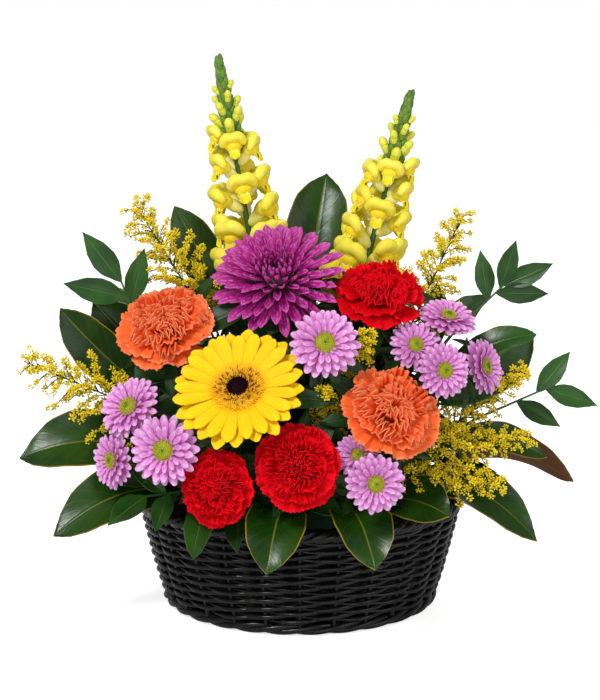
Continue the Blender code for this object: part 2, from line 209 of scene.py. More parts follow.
def petal(name, shape, seed=0):
    # a petal or leaf blade lying along +Y with its upper side up: rows are widened, cupped, ruffled and bent
    rows, columns, length = shape["rows"], shape["columns"], shape["length"]
    draw = random.Random(seed)
    deselect()
    bpy.ops.mesh.primitive_grid_add(x_subdivisions=columns, y_subdivisions=rows, size=1, location=(0, 0.5, 0))
    made = bpy.context.object
    made.name = name
    bpy.ops.object.transform_apply(location=True)
    edit(made)
    pick(made, lambda vertex: True)
    bpy.ops.transform.resize(value=(shape["width"], length, 1), center_override=(0, 0, 0))
    for row in range(rows + 1):
        pick(made, lambda vertex: vertex.index // (columns + 1) == row)
        share = between(shape["outline"], row / rows)
        bpy.ops.transform.resize(value=(share, 1, 1), center_override=(0, length * row / rows, 0))
    bm = bmesh.from_edit_mesh(made.data)
    bm.verts.ensure_lookup_table()
    cup, ridge, ruffle = (shape.get(key, 0) for key in ("cup", "ridge", "ruffle"))
    ridges, waves = shape.get("ridges", 2), shape.get("waves", 3)
    phase, second = draw.uniform(0, 6.28), draw.uniform(0, 6.28)
    for vertex in bm.verts:
        along, across = vertex.index // (columns + 1) / rows, vertex.index % (columns + 1) / columns * 2 - 1
        half = between(shape["outline"], along) * shape["width"] / 2
        wave = math.sin(across * waves * 3 + phase) + 0.5 * math.sin(across * waves * 7 + second)
        vertex.co.z += half * cup * across * across
        vertex.co.z += ridge * math.cos(across * math.pi * ridges) * math.sin(math.pi * along)
        vertex.co.z += ruffle * along ** 1.6 * wave
        vertex.co.y -= length * shape.get("round", 0) * across * across * along ** 3
        vertex.co.y += length * shape.get("point", 0) * (1 - abs(across)) * along ** 4
        if shape.get("fray") and along > 0.99:
            vertex.co.y += length * shape["fray"] * (1 if vertex.index % 2 else -1) * draw.uniform(0.4, 1)
    bmesh.update_edit_mesh(made.data)
    bends = shape.get("bend", ())
    for row in range(rows - 1, 0, -1) if bends else ():
        degrees = sum(amount * max(0, 1 - abs(row / rows - place) * 2.5) for place, amount in bends)
        if abs(degrees) < 0.01:
            continue
        pick(made, lambda vertex: vertex.index // (columns + 1) > row)
        bpy.ops.transform.rotate(value=math.radians(-degrees) / rows * 4, orient_axis="X",
                                 center_override=(0, length * row / rows, 0))
    objectMode()
    if shape.get("thick"):
        finishedWith(made, "SOLIDIFY", thickness=shape["thick"], offset=0)
    return smooth(made, 60)


def tube(name, route, radii, sides=8, closed=False):  # a round strand along the route
    data = bpy.data.curves.new(name, "CURVE")
    data.dimensions = "3D"
    data.bevel_depth = 1
    data.bevel_resolution = max(0, sides // 2 - 2)
    data.use_fill_caps = not closed
    spline = data.splines.new("POLY")
    spline.points.add(len(route) - 1)
    spline.use_cyclic_u = closed
    spline.use_smooth = True
    radii = radii if isinstance(radii, (list, tuple)) else [radii] * len(route)
    for point, place, radius in zip(spline.points, route, radii):
        point.co = (*place, 1)
        point.radius = radius
    made = bpy.data.objects.new(name, data)
    bpy.context.scene.collection.objects.link(made)
    activate(made)
    bpy.ops.object.convert(target="MESH")
    made = bpy.context.object
    if not closed:
        tidyMesh(made)
    return made


def curved(points, steps=4):  # a smooth line through the points
    line = []
    padded = [2 * points[0] - points[1], *points, 2 * points[-1] - points[-2]]
    for a, b, c, d in zip(padded, padded[1:], padded[2:], padded[3:]):
        for i in range(steps):
            t = i / steps
            squared = (2 * a - 5 * b + 4 * c - d) * t * t
            cubed = (3 * b - a - 3 * c + d) * t ** 3
            line.append(0.5 * (2 * b + (c - a) * t + squared + cubed))
    return [*line, points[-1]]


# Materials

class Wire:  # an output socket that can be added to, multiplied and so on
    def __init__(self, finish, socket):
        self.finish, self.socket = finish, socket

    def maths(self, operation, *values):
        return self.finish.node("ShaderNodeMath", {"operation": operation}, dict(enumerate(values)))

    def __add__(self, other):
        return self.maths("ADD", self, other)

    def __sub__(self, other):
        return self.maths("SUBTRACT", self, other)

    def __rsub__(self, other):
        return self.maths("SUBTRACT", other, self)

    def __mul__(self, other):
        return self.maths("MULTIPLY", self, other)

    def __pow__(self, other):
        return self.maths("POWER", self, other)

    __radd__, __rmul__ = __add__, __mul__

    def between(self, low, high):  # 0 below low, 1 above high, smooth in between
        return self.finish.node("ShaderNodeMapRange", {"interpolation_type": "SMOOTHSTEP"},
                                {0: self, 1: low, 2: high, 3: 0.0, 4: 1.0})

    def wave(self, turns):  # 0 to 1 and back, so many times over one unit
        return self.maths("SINE", self * (turns * 2 * math.pi)) * 0.5 + 0.5

    def offMiddle(self):  # 0 at one half, 1 at nought and one
        return self.maths("ABSOLUTE", self - 0.5) * 2


class Finish:
    def __init__(self, name, **constants):
        self.material = bpy.data.materials.new(name)
        self.material.use_nodes = True
        self.tree = self.material.node_tree
        self.shader = self.tree.nodes["Principled BSDF"]
        self.set(self.shader, constants)

    def set(self, node, values):
        for name, value in values.items():
            socket = node.inputs[name if isinstance(name, int) else name.replace("_", " ")]
            if isinstance(value, Wire):
                self.tree.links.new(value.socket, socket)
            elif isinstance(value, tuple) and len(value) == 3 and socket.type == "RGBA":
                socket.default_value = (*value, 1)
            else:
                socket.default_value = value

    def node(self, kind, settings, values, output=0):
        made = self.tree.nodes.new(kind)
        for name, value in settings.items():
            setattr(made, name, value)
        self.set(made, values)
        return Wire(self, made.outputs[output])

    def mix(self, factor, first, second):
        return self.node("ShaderNodeMix", {"data_type": "RGBA"}, {0: factor, 6: first, 7: second}, 2)

    def noise(self, scale, detail=3.0):
        place = self.node("ShaderNodeTexCoord", {}, {}, 3)
        return self.node("ShaderNodeTexNoise", {}, {"Vector": place, "Scale": scale, "Detail": detail})

    def across(self):  # the side and length coordinates of a petal or leaf
        spot = self.node("ShaderNodeTexCoord", {}, {}, 2)
        parts = self.node("ShaderNodeSeparateXYZ", {}, {0: spot})
        return parts, Wire(self, parts.socket.node.outputs[1])

    def tone(self):  # the shade that each copy was given
        return self.node("ShaderNodeAttribute", {"attribute_name": "tone"}, {}, 2)

    def done(self, bump=None, strength=0.5, distance=0.0005, **varying):
        if bump:
            relief = {"Height": bump, "Strength": strength, "Distance": distance}
            varying["Normal"] = self.node("ShaderNodeBump", {}, relief)
        self.set(self.shader, varying)
        return self.material


# The camera, light and floor

studio = {
    "lookAt": (0, 0, 0.203),
    "distance": 2.0,
    "rise": 12,
    "lens": 128.6,
    "floor": 6,
    "sky": 0.34,
    "paper": 0.74,
}
lamps = {  # place, size and watts
    "key light": ((-0.9, -1.4, 1.8), 0.55, 31),
    "fill light": ((1.5, -1.3, 0.9), 1.0, 8),
    "back light": ((0.4, 1.5, 1.6), 1.0, 9),
    "front light": ((0.1, -2.2, 0.5), 1.2, 8),
}


def aimed(name, data, place):  # a camera or lamp that looks at the arrangement
    made = bpy.data.objects.new(name, data)
    made.location = place
    made.rotation_euler = (Vector(studio["lookAt"]) - made.location).to_track_quat("-Z", "Y").to_euler()
    bpy.context.scene.collection.objects.link(made)
    return made


def standCamera():
    rise = math.radians(studio["rise"])
    back = Vector((0, -math.cos(rise), math.sin(rise)))
    data = bpy.data.cameras.new("camera")
    data.lens, data.sensor_width = studio["lens"], 36
    bpy.context.scene.camera = aimed("camera", data, Vector(studio["lookAt"]) + back * studio["distance"])
    bpy.context.scene.view_settings.view_transform = "Standard"


def hangLamps():
    for name, (place, size, watts) in lamps.items():
        lamp = bpy.data.lights.new(name, "AREA")
        lamp.energy, lamp.size = watts, size
        aimed(name, lamp, place)


def lightSky():  # a soft white sky that the camera sees as pure white
    world = bpy.data.worlds.new("studio world")
    world.use_nodes = True
    bpy.context.scene.world = world
    tree = world.node_tree
    soft, white = tree.nodes["Background"], tree.nodes.new("ShaderNodeBackground")
    for light, strength in ((soft, studio["sky"]), (white, 1)):
        light.inputs[0].default_value, light.inputs[1].default_value = (1, 1, 1, 1), strength
    chosen = tree.nodes.new("ShaderNodeMixShader")
    tree.links.new(tree.nodes.new("ShaderNodeLightPath").outputs["Is Camera Ray"], chosen.inputs[0])
    tree.links.new(soft.outputs[0], chosen.inputs[1])
    tree.links.new(white.outputs[0], chosen.inputs[2])
    tree.links.new(chosen.outputs[0], tree.nodes["World Output"].inputs[0])


def layFloor():  # white paper that glows a little for the camera
    deselect()
    bpy.ops.mesh.primitive_plane_add(size=studio["floor"], location=(0, 0, -0.0004))
    floor = bpy.context.object
    floor.name = "studio_floor"
    paper = Finish("white floor", Base_Color=(0.82, 0.82, 0.82), Roughness=0.9)
    plain = Wire(paper, paper.shader.outputs[0])
    seen = paper.node("ShaderNodeLightPath", {}, {})
    glow = paper.node("ShaderNodeEmission", {}, {"Color": (1, 1, 1), "Strength": studio["paper"]})
    both = paper.node("ShaderNodeAddShader", {}, {0: plain, 1: glow})
    shown = paper.node("ShaderNodeMixShader", {}, {0: seen, 1: plain, 2: both})
    paper.tree.links.new(shown.socket, paper.tree.nodes["Material Output"].inputs[0])
    floor.data.materials.append(paper.material)


def layOutStudio():
    standCamera()
    hangLamps()
    lightSky()
    layFloor()
    print("studio laid out")


# The basket: stakes, weavers and two rope borders

basketSizes = {
    "stakes": 26,
    "stakeRadius": 0.0021,
    "weaverRadius": 0.0019,
    "pitch": 0.0034,
    "swing": 0.0024,
    "lift": 0.0009,
    "steps": 6,
    "foot": {"strands": 3, "thick": 0.0026, "reachOut": 0.0022, "reachUp": 0.0022, "twists": 27, "steps": 14},
    "rim": {"strands": 4, "thick": 0.0031, "reachOut": 0.0034, "reachUp": 0.0026, "twists": 64, "steps": 8},
}


def blackWicker():
    finish = Finish("black wicker", IOR=1.45, Specular_IOR_Level=0.34)
    grain = finish.noise(120, 4)
    # painted glints: brown patches from noise, mixed into the black, stand in for small glints on the strands
    paintedGlints = finish.noise(60, 2).between(0.64, 0.76)
    black = finish.mix(grain, (0.0025, 0.0025, 0.003), (0.008, 0.008, 0.009))
    colour = finish.mix(paintedGlints * 0.4, black, (0.06, 0.038, 0.016))
    return finish.done(Base_Color=colour, Roughness=grain * 0.2 + 0.16,
                       bump=finish.noise(400, 3), strength=0.3, distance=0.0004)


def around(turn, reach, height):  # a place on a circle round the basket, counted from the front
    return Vector((reach * math.sin(turn), -reach * math.cos(turn), height))


def wallRadius(height):  # the middle of the wicker wall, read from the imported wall
    low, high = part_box("basket_wall")
    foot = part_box("basket_foot_border")[1]
    share = max(0, (height - low.z) / (high.z - low.z))
    return foot.x + 0.0005 + (high.x - foot.x) * share ** 0.85 - 0.003


def wickerRing(name, height, radius, thick, swing, waves, offset, steps, lift=0, seed=0):
    draw = random.Random(seed)
    route, radii = [], []
    count = waves * 2 * steps
    wobble = [draw.uniform(-1, 1) for i in range(waves * 2)]
    for i in range(count):
        turn = 2 * math.pi * i / count
        swung = math.cos(turn * waves + offset)
        swung = math.copysign(abs(swung) ** 0.75, swung)
        loose = wobble[i // steps] * 0.0002
        rise = lift * math.sin(turn * waves + offset) + loose
        reach = radius + swing * swung + loose
        route.append(around(turn, reach, height + rise))
        radii.append(thick * (1 + 0.08 * wobble[(i // steps) * 7 % len(wobble)]))
    return tube(name, route, radii, 8, closed=True)


def rope(name, radius, height, strands, thick, reachOut, reachUp, twists, steps):
    parts = []
    for strand in range(strands):
        route = []
        count = twists * steps
        for i in range(count):
            turn = 2 * math.pi * i / count
            roll = turn * twists / strands + 2 * math.pi * strand / strands
            reach = radius + reachOut * math.cos(roll)
            route.append(around(turn, reach, height + reachUp * math.sin(roll)))
        parts.append(tube(name, route, thick, 8, closed=True))
    return joined(name, parts)


def weaveWall(wicker):
    sizes = basketSizes
    low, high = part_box("basket_wall")
    stakes, waves = sizes["stakes"], sizes["stakes"] // 2
    parts = []
    rows = int((high.z - low.z) / sizes["pitch"])
    for row in range(rows):
        height = low.z + 0.002 + row * (high.z - low.z - 0.003) / (rows - 1)
        parts.append(wickerRing("weaver", height, wallRadius(height), sizes["weaverRadius"], sizes["swing"],
                                waves, math.pi * (row % 2), sizes["steps"], lift=sizes["lift"], seed=row))
    for stake in range(stakes):
        turn = 2 * math.pi * stake / stakes
        heights = [0.004 + (high.z - 0.002) * i / 7 for i in range(8)]
        route = [around(turn, wallRadius(height), height) for height in heights]
        parts.append(tube("stake", route, sizes["stakeRadius"], 6))
    declared(smooth(joined("woven_wall", parts)), "black_wicker", wicker, "basket_wall")


def finishPlain(node, finish):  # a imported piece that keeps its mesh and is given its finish
    nodes[node].data.materials.clear()
    nodes[node].data.materials.append(finish)


def weaveBasket():
    wicker = blackWicker()
    weaveWall(wicker)
    low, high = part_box("basket_foot_border")
    foot = rope("foot_border", high.x - 0.0031, high.z / 2 + 0.0002, **basketSizes["foot"])
    declared(smooth(foot), "black_wicker", wicker, "basket_foot_border")
    low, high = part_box("basket_rim_border")
    rim = rope("rim_border", high.x - 0.006, (low.z + high.z) / 2, **basketSizes["rim"])
    declared(smooth(rim), "black_wicker", wicker, "basket_rim_border")
    finishPlain("basket_base", wicker)
    finishPlain("plastic_liner", finishes["liner"])
    finishPlain("floral_foam", finishes["foam"])
    print("basket woven")


# Flowers

def whorl(head, sources, count, reach, height, pitch, draw, offset=0, size=1, loose=4):
    placed = []
    for i in range(count):
        turn = 2 * math.pi * (i + offset) / count + math.radians(draw.uniform(-loose, loose) * 0.6)
        placed.append(petalAt(head, sources, turn, reach, height, pitch, draw, size, loose))
    return placed


def petalAt(head, sources, turn, reach, height, pitch, draw, size=1, loose=4):
    matrix = (head @ spin(turn) @ shift(0, reach, height)
              @ tilt(pitch + draw.uniform(-loose, loose))
              @ tilt(draw.uniform(-loose, loose) * 2, "Y")
              @ sized(size * draw.uniform(0.95, 1.05)))
    return draw.choice(sources), matrix, draw.random()


def planted(name, placed):
    return joined(name, [copyOf(source, matrix, tone) for source, matrix, tone in placed])


def bead(name, size, segments=8, rings=5, taper=0.72):  # a small egg-shaped bud standing on the origin
    deselect()
    bpy.ops.mesh.primitive_uv_sphere_add(segments=segments, ring_count=rings, radius=1, location=(0, 0, 0))
    made = bpy.context.object
    made.name = name
    edit(made)
    pick(made, lambda vertex: True)
    bpy.ops.transform.resize(value=size, center_override=(0, 0, 0))
    bpy.ops.transform.translate(value=(0, 0, size[2] * 0.8))
    pick(made, lambda vertex: vertex.co.z > size[2] * 1.2)
    bpy.ops.transform.resize(value=(taper, taper, 1.1), center_override=(0, 0, size[2]))
    objectMode()
    return smooth(made, 80)


def stemOf(node, name):  # the green stem and cup under a flower head
    rings = ringsOf(node)
    radii = [ringRadius(ring) for ring in rings]
    widest = max(radii)
    count = next(i for i, radius in enumerate(radii) if radius > widest * 0.42)
    centres = [middle(ring) for ring in rings[:count]]
    stem = tube(name, centres, [radius * 0.95 for radius in radii[:count]], 10)
    declared(smooth(stem, 60), "ruscus_leaf", finishes["stem"])


def petalFinish(name, base, body, edge, dark=0.55, veins=14, roughness=0.55, gloss=0.25,
                edgeFrom=0.7, sideShade=0.0, paintedHighlight=None):
    finish = Finish(name, IOR=1.4, Specular_IOR_Level=gloss, Subsurface_Weight=0.10, Subsurface_Scale=0.002)
    side, along = finish.across()
    tone = finish.tone()
    streak = side.wave(veins) * 0.25
    # the colour runs from the base colour at the petal's foot to the body colour; for the carnations,
    # chrysanthemum, gerbera and daisies the darker foot is painted shade deep among the petals
    colour = finish.mix(along.between(0.0, 0.42), base, body)
    colour = finish.mix(along.between(edgeFrom, 1.0) * 0.8, colour, edge)
    if paintedHighlight:
        # painted highlights: pale streaks along the petal's veins, broken up by noise and stronger away from
        # the foot
        lit = side.wave(veins) ** 5.0 * finish.noise(420, 2).between(0.42, 0.62)
        colour = finish.mix(lit * along.between(0.1, 0.5) * 0.75, colour, paintedHighlight)
    if sideShade:
        # painted shade: the sides of each petal are darkened towards the base colour, where neighbouring
        # petals meet and overlap
        off = side.offMiddle()
        colour = finish.mix(off.between(0.72, 1.0) * sideShade, colour, base)
    dim = tuple(0.45 + 0.35 * part for part in body)
    shade = finish.mix((tone * 0.6 + streak) * dark, (1.0, 1.0, 1.0), dim)
    multiply = {"data_type": "RGBA", "blend_type": "MULTIPLY"}
    colour = finish.node("ShaderNodeMix", multiply, {0: 1.0, 6: colour, 7: shade}, 2)
    return finish.done(Base_Color=colour, Roughness=streak * 0.3 + roughness,
                       bump=side.wave(veins), strength=0.35, distance=0.0003)


def plainFinish(name, first, second, roughness=0.6, scale=300, **constants):
    finish = Finish(name, **constants)
    grain = finish.noise(scale, 3)
    colour = finish.mix(finish.tone() * 0.6 + grain * 0.4, first, second)
    return finish.done(Base_Color=colour, Roughness=grain * 0.2 + roughness - 0.1,
                       bump=grain, strength=0.3, distance=0.0004)


finishes = {
    "stem": plainFinish("green stem", (0.020, 0.075, 0.008), (0.06, 0.15, 0.02), 0.5),
    # gerbera: the orange petal feet and the darkened petal sides are painted shade near the flower's middle
    "gerbera": petalFinish("gerbera petal", (0.86, 0.34, 0.0), (0.98, 0.64, 0.002), (1.0, 0.71, 0.008),
                           0.3, 4, sideShade=0.5),
    "gerberaRing": plainFinish("gerbera ring", (0.92, 0.44, 0.002), (1.0, 0.76, 0.02), 0.6),
    "gerberaDots": plainFinish("gerbera dots", (0.28, 0.030, 0.004), (0.55, 0.11, 0.004), 0.6),
    "gerberaEye": plainFinish("gerbera eye", (0.004, 0.0005, 0.002), (0.032, 0.003, 0.009), 0.7,
                              Specular_IOR_Level=0.1),
    # chrysanthemum: the near-black petal feet are painted shade among the petals, and the pale streaks are
    # painted highlights
    "mum": petalFinish("chrysanthemum petal", (0.07, 0.001, 0.040), (0.50, 0.018, 0.29), (0.68, 0.10, 0.46),
                       0.4, 3, 0.36, 0.45, paintedHighlight=(0.88, 0.44, 0.74)),
    "mumEye": plainFinish("chrysanthemum eye", (0.045, 0.006, 0.020), (0.10, 0.055, 0.02), 0.6),
    # daisy: the darker petal feet and sides are painted shade, and the pale streaks are painted highlights
    "daisy": petalFinish("daisy petal", (0.44, 0.04, 0.32), (0.80, 0.29, 0.70), (0.96, 0.58, 0.92), 0.5, 2,
                         sideShade=0.5, paintedHighlight=(0.90, 0.70, 0.92)),
    "daisyDisc": plainFinish("daisy disc", (0.40, 0.44, 0.008), (0.62, 0.62, 0.02), 0.6),
    "daisyEye": plainFinish("daisy eye", (0.07, 0.16, 0.006), (0.14, 0.26, 0.012), 0.6),
    # carnations: the near-black and dark orange petal feet are painted shade deep inside the flowers
    "red": petalFinish("red carnation petal", (0.06, 0.0, 0.001), (0.72, 0.001, 0.007), (0.98, 0.006, 0.020),
                       0.6, 10, 0.65, 0.08, edgeFrom=0.86),
    "orange": petalFinish("orange carnation petal", (0.42, 0.01, 0.002), (1.0, 0.17, 0.036),
                          (1.0, 0.32, 0.14), 0.5, 10, 0.65, 0.12, edgeFrom=0.86),
    "snapdragon": petalFinish("snapdragon petal", (0.86, 0.82, 0.22), (0.93, 0.77, 0.018), (0.97, 0.84, 0.07),
                              0.25, 6),
    "hood": plainFinish("snapdragon hood", (0.88, 0.76, 0.035), (0.97, 0.86, 0.10), 0.55, 120,
                        Subsurface_Weight=0.1, Subsurface_Scale=0.003),
    "throat": plainFinish("snapdragon tube", (0.80, 0.76, 0.16), (0.92, 0.88, 0.34), 0.6, 120),
    "palate": plainFinish("snapdragon palate", (0.95, 0.66, 0.004), (0.98, 0.78, 0.012), 0.6, 200),
    "bud": plainFinish("green bud", (0.045, 0.13, 0.008), (0.17, 0.30, 0.02), 0.5),
    "budTip": plainFinish("yellow bud", (0.62, 0.66, 0.05), (0.92, 0.84, 0.08), 0.5),
    "goldenrod": plainFinish("goldenrod floret", (0.78, 0.53, 0.004), (1.0, 0.86, 0.014), 0.7),
    "liner": plainFinish("black liner", (0.006, 0.006, 0.007), (0.014, 0.014, 0.015), 0.35, 60),
    "foam": plainFinish("wet foam", (0.008, 0.045, 0.018), (0.022, 0.085, 0.035), 0.85, 900),
}


def leafFinish(name, upper, lower, rib, margin, sideVeins=12, gloss=0.24, bright=0.35):
    finish = Finish(name, IOR=1.45, Specular_IOR_Level=0.36)
    side, along = finish.across()
    off = side.offMiddle()
    veins = (along * sideVeins - off * 2.6 + finish.noise(40, 2) * 0.5).wave(1) ** 24.0
    patch = finish.noise(26, 3)
    colour = finish.mix(patch.between(0.35, 0.65), upper, lower)
    colour = finish.mix(veins * bright * 0.2, colour, rib)
    colour = finish.mix((1 - off.between(0.012, 0.045)) * 0.8, colour, rib)
    colour = finish.mix(off.between(0.955, 0.985) * 0.75, colour, margin)
    height = (1 - off.between(0.0, 0.12)) * -0.8 + veins * -0.1 + finish.noise(45, 3) * 1.6
    return finish.done(Base_Color=colour, Roughness=patch * 0.16 + gloss - 0.06,
                       bump=height, strength=0.5, distance=0.0007)


leafFinishes = {
    "magnolia": leafFinish("magnolia leaf", (0.006, 0.034, 0.002), (0.018, 0.064, 0.004),
                           (0.15, 0.17, 0.012), (0.38, 0.26, 0.02), 13),
    "brown": leafFinish("magnolia underside", (0.10, 0.036, 0.010), (0.15, 0.06, 0.018),
                        (0.22, 0.11, 0.04), (0.30, 0.17, 0.04), 12, 0.6),
    "salal": leafFinish("salal leaf", (0.008, 0.044, 0.003), (0.022, 0.080, 0.008),
                        (0.08, 0.16, 0.02), (0.05, 0.14, 0.015), 14),
    "ruscus": leafFinish("ruscus leaflet", (0.010, 0.050, 0.005), (0.026, 0.095, 0.012),
                         (0.08, 0.18, 0.03), (0.04, 0.13, 0.015), 2, 0.34),
    "stem": leafFinish("stem leaf", (0.006, 0.030, 0.003), (0.016, 0.058, 0.007),
                       (0.05, 0.11, 0.015), (0.03, 0.08, 0.01), 12, 0.4),
}
stemLeafOutline = ((0, 0.1), (0.2, 0.6), (0.45, 1.0), (0.75, 0.7), (0.92, 0.26), (1, 0.04))
stemLeafShapes = (
    {"rows": 8, "columns": 4, "length": 0.052, "width": 0.020, "cup": 0.25, "ruffle": 0.0008, "waves": 2,
     "outline": stemLeafOutline, "thick": 0.0006},
    {"rows": 8, "columns": 4, "length": 0.046, "width": 0.015, "cup": 0.3, "ruffle": 0.0010, "waves": 3,
     "outline": stemLeafOutline, "thick": 0.0006})


def stemLeaves(node, name, count, low, high, size=1.0, seed=0):  # the flower's own leaves along its stem
    end = middle(ringsOf(node)[-1])
    draw = random.Random(300 + seed)
    sources = [petal("stemLeaf", dict(shape, bend=((0.5, -6), (0.9, bend))), bend)
               for shape, bend in zip(stemLeafShapes, (-12, -16))]
    placed = []
    way = (end - focus).normalized()
    long = (end - focus).length
    turns = frameAt(Vector(), way)
    high = min(high, 1 - 0.052 * size / long)
    for i in range(count):
        share = low + (high - low) * (i + draw.uniform(0.1, 0.9)) / count
        spot = Matrix.Translation(focus + way * long * share)
        matrix = (spot @ turns @ spin(goldenTurn * i + seed) @ tilt(draw.uniform(28, 52))
                  @ sized(size * draw.uniform(0.8, 1.15)))
        placed.append((draw.choice(sources), matrix, draw.random()))
    declared(planted(name, placed), "salal_leaf", leafFinishes["stem"])
    discard(*sources)


# how some heads nod away from their stems: share turned to the front, degrees tipped up, size
headTurns = {
    "yellow_gerbera": (0, -12, 1.03),
    "red_carnation_left": (0, 0, 1.08),
    "red_carnation_top": (0, -9, 1.05),
    "orange_carnation_left": (0.45, -26, 1.06),
    "orange_carnation_right": (0, -13, 1.10),
}


def turnedHead(head, node):
    share, tip, size = headTurns.get(node, (0, 0, 1))
    facing = head.col[2].xyz.lerp(Vector((0, -1, 0)), share).normalized()
    turned = frameAt(head.to_translation(), facing) @ tilt(tip)
    return turned @ sized(size)


gerberaShape = {
    "outer": {"rows": 10, "columns": 6, "length": 0.0385, "width": 0.0120, "cup": 0.12,
              "ridge": 0.00045, "ridges": 3,
              "outline": ((0, 0.35), (0.3, 0.72), (0.6, 0.96), (0.8, 1.0), (0.93, 0.80), (1, 0.34)),
              "round": 0.02, "bend": ((0.3, 3), (0.8, -5)), "thick": 0.0005},
    "rows": ((21, 0.0, 0.014, 0.0, 0, 1.0), (21, 0.5, 0.013, 0.0022, 4, 0.92)),
    "ring": 620, "ringReach": 0.36, "eyeShare": 0.43,
}


def makeGerbera(node):
    head, radius = headOf(node)
    head = turnedHead(head, node)
    draw = random.Random(5)
    scale = radius / 0.0525
    sources = [petal("gerberaPetal", dict(gerberaShape["outer"], bend=((0.3, 3), (0.8, bend))), seed)
               for seed, bend in enumerate((-4, -7, -2))]
    placed = []
    for count, offset, reach, height, pitch, size in gerberaShape["rows"]:
        placed += whorl(head, sources, count, reach * scale, height * scale, pitch, draw, offset,
                        size * scale, 2.5)
    declared(planted("gerbera_petals", placed), "yellow_petals", finishes["gerbera"], node)
    spike = bead("floret", (0.00045, 0.00045, 0.0014), 5, 4)
    mound = bead("mound", (0.0175, 0.0175, 0.0030), 24, 8)
    florets = [(mound, head @ shift(0, 0, 0.0004), 0.75)]
    eye = [(mound, head @ shift(0, 0, 0.0046) @ sized(0.46), 0.4)]
    dots = []
    for i in range(gerberaShape["ring"]):
        share = math.sqrt((i + 0.5) / gerberaShape["ring"])
        reach = share * gerberaShape["ringReach"] * radius
        turn = goldenTurn * i
        dark = share < gerberaShape["eyeShare"]
        lift = 0.0066 if dark else 0.0058 - 0.0040 * share ** 3
        matrix = (head @ spin(turn) @ shift(0, reach, lift)
                  @ tilt(-46 * share + draw.uniform(-16, 16))
                  @ sized(0.9 if dark else 0.9 + 0.5 * share))
        dotted = not dark and draw.random() < 0.62 - 1.15 * (share - gerberaShape["eyeShare"])
        (eye if dark else dots if dotted else florets).append((spike, matrix, draw.random()))
    declared(planted("gerbera_ring", florets), "yellow_petals", finishes["gerberaRing"])
    declared(planted("gerbera_dots", dots), "yellow_petals", finishes["gerberaDots"])
    declared(planted("gerbera_eye", eye), "yellow_petals", finishes["gerberaEye"])
    discard(spike, mound, *sources)
    stemOf(node, "gerbera_stem")
    stemLeaves(node, "gerbera_foliage", 7, 0.42, 0.72, 1.1, 1)
    print("gerbera made")


mumShape = {"rows": 8, "columns": 6, "length": 0.030, "width": 0.0084, "cup": 0.80,
            "ridge": 0.0003, "ridges": 2, "point": 0.07, "thick": 0.0007,
            "outline": ((0, 0.40), (0.25, 0.70), (0.6, 1.0), (0.88, 0.92), (1, 0.44))}
mumRows = {"petals": 124, "inner": 0.28, "core": (0.0135, 0.0135, 0.0060)}


def makeMum(node):
    head, radius = headOf(node)
    head = head @ shift(0, 0.0072, 0)
    draw = random.Random(8)
    scale = radius / 0.052
    outer = [petal("mumPetal", dict(mumShape, bend=((0.5, bend), (0.9, bend * 1.2))), seed)
             for seed, bend in enumerate((6, 9, 12, 3))]
    inner = [petal("mumPetal", dict(mumShape, cup=1.1, bend=((0.35, 10), (0.8, bend))), seed)
             for seed, bend in enumerate((24, 30, 36))]
    placed = []
    for i in range(mumRows["petals"]):
        share = (i + 3) / (mumRows["petals"] + 2)
        pitch = 86 - 98 * share ** 0.7
        size = (0.24 + 0.78 * share ** 0.66) * scale
        reach = (0.0030 + 0.0200 * share ** 0.8) * scale
        height = (0.0090 - 0.0150 * share ** 1.1) * scale
        sources = inner if share < mumRows["inner"] else outer
        placed.append(petalAt(head, sources, goldenTurn * i, reach, height, pitch, draw, size, 5))
    declared(planted("chrysanthemum_petals", placed), "purple_petals", finishes["mum"], node)
    spike = bead("floret", (0.0007, 0.0007, 0.0026), 5, 4)
    core = bead("core", mumRows["core"], 16, 8)
    eye = [(core, head @ shift(0, 0, -0.0045), 0.0)]
    for i in range(46):
        share = math.sqrt((i + 0.5) / 46)
        eye.append((spike, head @ spin(goldenTurn * i)
                    @ shift(0, share * 0.0042, 0.0060 * scale), draw.random()))
    declared(planted("chrysanthemum_eye", eye), "purple_petals", finishes["mumEye"])
    discard(spike, core, *outer, *inner)
    stemOf(node, "chrysanthemum_stem")
    stemLeaves(node, "chrysanthemum_foliage", 12, 0.36, 0.78, 1.1, 2)
    print("chrysanthemum made")


daisyShape = {"rows": 6, "columns": 4, "length": 0.0185, "width": 0.0068, "cup": 0.22, "ridge": 0.0003,
              "outline": ((0, 0.4), (0.3, 0.72), (0.7, 1.0), (0.9, 0.9), (1, 0.5)), "point": 0.05,
              "thick": 0.0004}
# each row's count, reach, height, pitch and size
daisyRows = ((20, 0.006, -0.001, -2, 1.0), (19, 0.0055, 0.0006, 10, 0.90),
             (16, 0.0054, 0.0014, 26, 0.66), (14, 0.0056, 0.0016, 50, 0.34))


